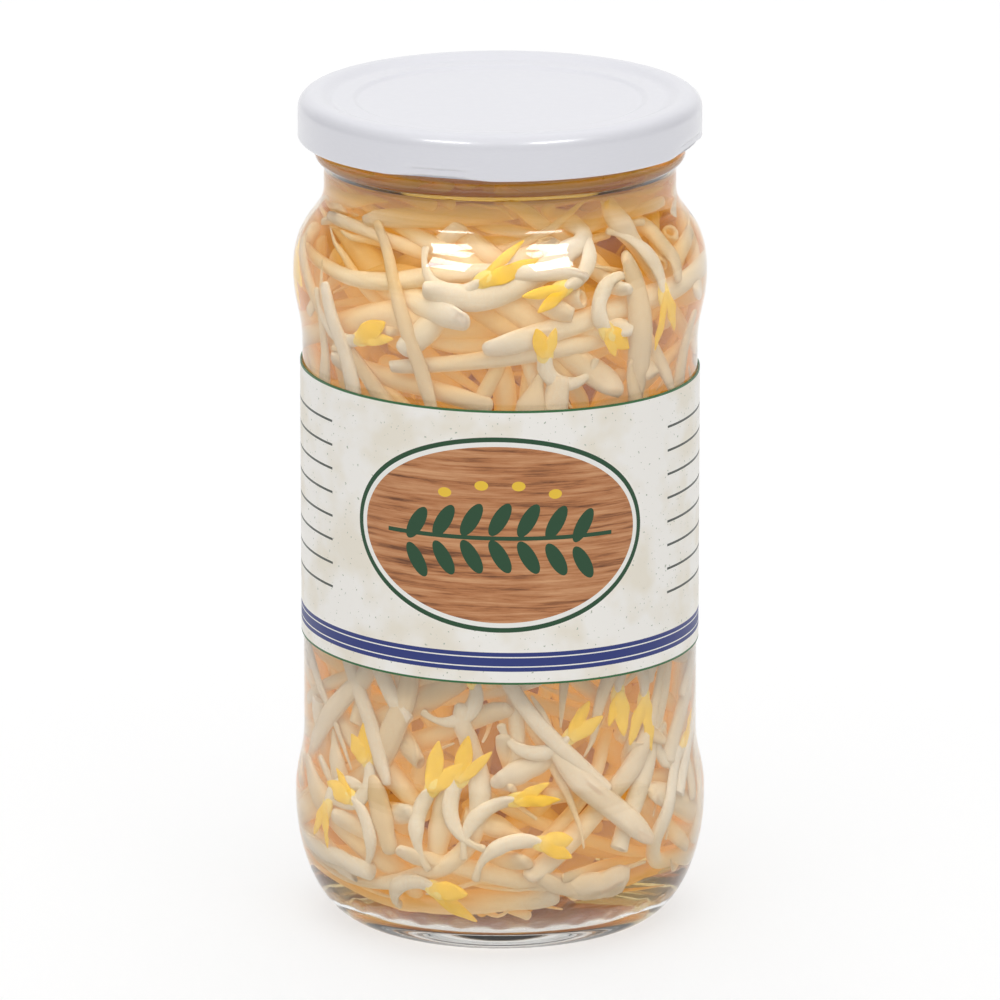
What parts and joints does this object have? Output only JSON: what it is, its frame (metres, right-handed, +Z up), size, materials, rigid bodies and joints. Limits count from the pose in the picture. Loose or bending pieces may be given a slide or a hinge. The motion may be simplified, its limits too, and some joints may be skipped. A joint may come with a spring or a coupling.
{
  "type": "jar of bean sprouts",
  "caption": "Waisted glass preserving jar of pale bean sprouts in brine, with a wrap-round paper label and a white twist-off lug lid that unscrews.",
  "frame": {"origin": "centre of the base, on the plane of the bearing ring", "axes": "+Z up the jar's axis, front of the label towards -Y"},
  "size_m": [0.0682, 0.0682, 0.1391],
  "materials": {
    "glass": "clear moulded soda-lime glass",
    "lacquered_steel": "white gloss lacquer on tinplate",
    "sealing_compound": "matt off-white plastisol",
    "paper": "coated printed paper",
    "brine": "clear pale amber liquid",
    "stem": "wet translucent plant stem",
    "leaf": "wet yellow seed leaf"
  },
  "bodies": {
    "jar": {"glass_jar": "glass", "label": "paper", "brine": "brine", "leaves_01": "leaf", "leaves_02": "leaf", "leaves_03": "leaf", "leaves_04": "leaf", "leaves_05": "leaf", "leaves_06": "leaf", "leaves_07": "leaf", "leaves_08": "leaf", "leaves_09": "leaf", "leaves_10": "leaf", "leaves_11": "leaf", "leaves_12": "leaf", "leaves_13": "leaf", "leaves_14": "leaf", "sprout_01": "stem", "sprout_02": "stem", "sprout_03": "stem", "sprout_04": "stem", "sprout_05": "stem", "sprout_06": "stem", "sprout_07": "stem", "sprout_08": "stem", "sprout_09": "stem", "sprout_10": "stem", "sprout_11": "stem", "sprout_12": "stem", "sprout_13": "stem", "sprout_14": "stem", "sprout_15": "stem", "sprout_16": "stem", "sprout_17": "stem", "sprout_18": "stem", "sprout_19": "stem", "sprout_20": "stem", "sprout_21": "stem", "sprout_22": "stem", "sprout_23": "stem", "sprout_24": "stem", "sprout_25": "stem", "sprout_26": "stem", "sprouts_bottom": "stem", "sprouts_middle": "stem", "sprouts_top": "stem"},
    "seal": {"sealing_ring": "sealing_compound"},
    "lid": {"lid": "lacquered_steel"}
  },
  "joints": [
    {"name": "lid_rise", "type": "slide", "parent": "jar", "child": "seal", "axis": [0, 0, 1], "range_m": [0, 0.0012]},
    {"name": "lid_turn", "type": "hinge", "parent": "seal", "child": "lid", "pos_m": [0, 0, 0.1316], "axis": [0, 0, 1], "range_deg": [0, 60]}
  ],
  "couplings": [
    {"joint": "lid_rise", "follows": "lid_turn", "m_per_rad": 0.0011459}
  ]
}
